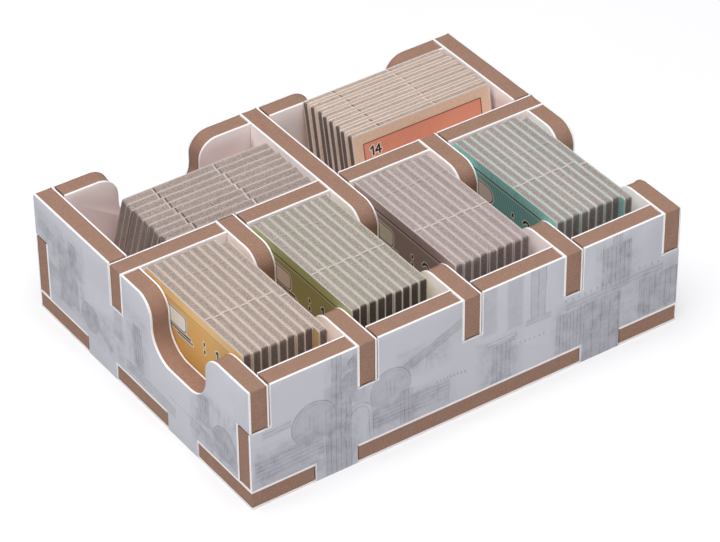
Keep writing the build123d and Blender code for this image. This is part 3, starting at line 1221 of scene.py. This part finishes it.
# %% Torn nicks
NICK_SIZE = Vector((0.55, 1.9, 0.14)) * MM
nick_places = []
for side in ("Nick Left", "Nick Right"):
    for sign in (1.0, -1.0):
        rise = (given(tiles, "Height") * 0.5 - NICK_SIZE.z * 0.5) * sign
        nick_places.append(vector(tiles, given(tiles, side), given(tiles, "Thickness") * 0.5, rise))
points = tiles.add("GeometryNodePoints", None, {"Count": len(nick_places)})
spots = by_index(tiles, "VECTOR", nick_places)
points = tiles.add("GeometryNodeSetPosition", None, {"Geometry": points, "Position": spots})
nib_size = {"Size": NICK_SIZE, "Vertices X": 4, "Vertices Y": 8, "Vertices Z": 2}
nib = tiles.add("GeometryNodeMeshCube", None, nib_size)
nibs = tiles.add("GeometryNodeInstanceOnPoints", None, {"Points": points, "Instance": nib})
nibs = tiles.add("GeometryNodeRealizeInstances", None, {"Geometry": nibs})
fray = tiles.scaled(way, (tiles.noise(noise_place, 5200.0, 1.0) - 1.0) * (0.09 * MM))
nibs = tiles.add("GeometryNodeSetPosition", None, {"Geometry": nibs, "Offset": fray})
nibs = tiles.add("GeometryNodeSetMaterial", None, {"Geometry": nibs, "Material": given(tiles, "Nick")})
print("nicks on", len(nick_places), "points")

# %% [markdown]
# ## Finishes and stored coordinates
# The way that a face looks says whether it is the print, the back or an edge. The tile's own coordinates
# are stored before the tile is placed, because the materials need them whichever way the tile then leans.

# %% Finishes and attributes
ahead = tiles.parts(way)[1]
to_print = compare(tiles, "LESS_THAN", ahead, -0.6)
to_back = compare(tiles, "GREATER_THAN", ahead, 0.6)
body = rough_slab
for label, where in (("Paper Edge", None), ("Board", in_board), ("Print", to_print), ("Back", to_back)):
    feeds = {"Geometry": body, "Material": given(tiles, label)}
    if where is not None:
        feeds["Selection"] = where
    body = tiles.add("GeometryNodeSetMaterial", None, feeds)

both_parts = tiles.add("GeometryNodeJoinGeometry", None, {0: body})
tile_group.links.new(nibs.socket, both_parts.socket.node.inputs[0])
half_up = vector(tiles, z=given(tiles, "Height") * 0.5)
from_foot = tiles.add("ShaderNodeVectorMath", {"operation": "ADD"}, {0: place, 1: half_up})
stored = both_parts
for label, kind, value in (
    ("tile_place", "FLOAT_VECTOR", from_foot),
    ("tile_tone", "FLOAT", given(tiles, "Tone")),
):
    feeds = {"Geometry": stored, "Name": label, "Value": value}
    settings = {"data_type": kind, "domain": "POINT"}
    stored = tiles.add("GeometryNodeStoreNamedAttribute", settings, feeds)
ending = tile_group.nodes.new("NodeGroupOutput")
tile_group.links.new(stored.socket, ending.inputs[0])
print("tile tree nodes", len(tile_group.nodes))


# %% [markdown]
# ## Standing the tiles in their bays
# A tile lifts straight out along its joint's axis, so that axis is the tile's own upright. The long side
# of its box says which way it faces. Those two directions and the middle of the box are all that it
# takes to stand the finished mesh exactly on its packed node.

# %% Place every tile
def tile_matrix(low, high, up, thickness):
    """From the tile's own coordinates to its place in the tray."""
    runs_left_right = high.x - low.x > high.y - low.y
    along = Vector((1, 0, 0)) if runs_left_right else Vector((0, -1, 0))
    behind = up.cross(along)
    origin = (low + high) / 2 - behind * thickness / 2
    turned = Matrix((along, behind, up)).transposed()
    return Matrix.Translation(origin) @ turned.to_4x4()


def drop_empty_slot(mesh):
    """The tree leaves an unused first slot, so every face's finish moves up by one."""
    slots = [0] * len(mesh.polygons)
    mesh.polygons.foreach_get("material_index", slots)
    assert min(slots) > 0 and mesh.materials[0] is None
    mesh.materials.pop(index=0)
    mesh.polygons.foreach_set("material_index", [slot - 1 for slot in slots])


def make_tile(joint, number, carrier, modifier):
    """One tile: evaluate the tree with its own inputs, place the mesh, and hand it to its body."""
    node = joint["child"]
    colour_name = node.split("_")[0]
    look = PALETTE[colour_name]
    jitter = random.Random(number)
    modifier[input_keys["Seed"]] = number
    modifier[input_keys["Nick Left"]] = (look["nicks"][0] + jitter.uniform(-0.12, 0.12)) * MM
    modifier[input_keys["Nick Right"]] = (look["nicks"][1] + jitter.uniform(-0.12, 0.12)) * MM
    modifier[input_keys["Tone"]] = jitter.random()
    modifier[input_keys["Paper"]] = look["paper_thickness"] * MM
    for label, material in tile_looks[colour_name].items():
        modifier[input_keys[label]] = material
    carrier.update_tag()
    graph = bpy.context.evaluated_depsgraph_get()
    mesh = bpy.data.meshes.new_from_object(carrier.evaluated_get(graph))
    drop_empty_slot(mesh)
    low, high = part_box(node)
    up = Vector(joint["axis"])
    mesh.transform(tile_matrix(low, high, up, TILE_THICKNESS * MM))
    mesh.name = f"{node}_punched"
    piece = finished_piece(mesh.name, mesh, [], 40.0)
    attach(piece, node)
    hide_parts(node)
    return piece


carrier = bpy.data.objects.new("tile_carrier", bpy.data.meshes.new("tile_carrier"))
scene.collection.objects.link(carrier)
modifier = carrier.modifiers.new("punched_tile", "NODES")
modifier.node_group = tile_group
tile_pieces = [make_tile(joint, n, carrier, modifier) for n, joint in enumerate(frame["joints"])]
bpy.data.objects.remove(carrier)
print("tiles", len(tile_pieces), "with", len(tile_pieces[0].data.vertices), "points each")
print("first tile's materials", [m and m.name for m in tile_pieces[0].data.materials])

# %% [markdown]
# ## The end
# The finished pieces must fill the same box as the packed model.
